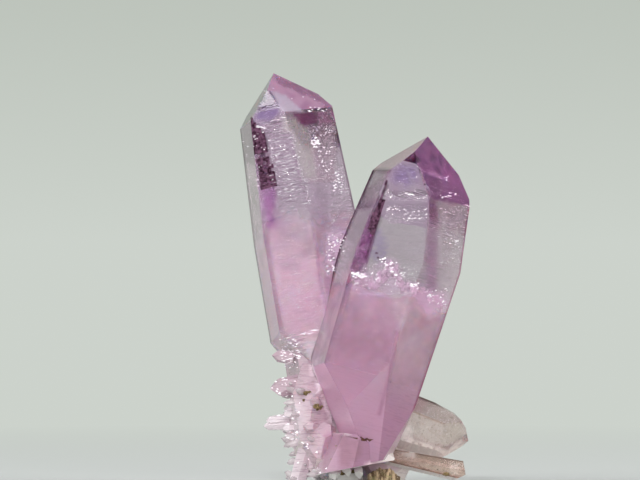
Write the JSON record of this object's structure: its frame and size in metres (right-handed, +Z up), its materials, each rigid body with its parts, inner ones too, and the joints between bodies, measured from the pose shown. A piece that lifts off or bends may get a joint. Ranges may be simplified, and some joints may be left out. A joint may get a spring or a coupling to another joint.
{
  "type": "amethyst crystal cluster",
  "caption": "Slender pale violet crystals that lean apart from one root, with clear side crystals, a spray of small points and brown matrix, standing on a flat cut base.",
  "frame": {"origin": "on the flat cut base, below the point where the axes of the large crystals meet", "axes": "+Z up along the specimen's height, +X to the right seen from the front, +Y away from the viewer"},
  "size_m": [0.0288, 0.0238, 0.052],
  "materials": {
    "amethyst": "clear and milky, with violet tips",
    "matrix": "rough"
  },
  "bodies": {
    "root": {"amethyst_cluster": "amethyst", "iron_stained_matrix": "matrix"}
  },
  "joints": []
}
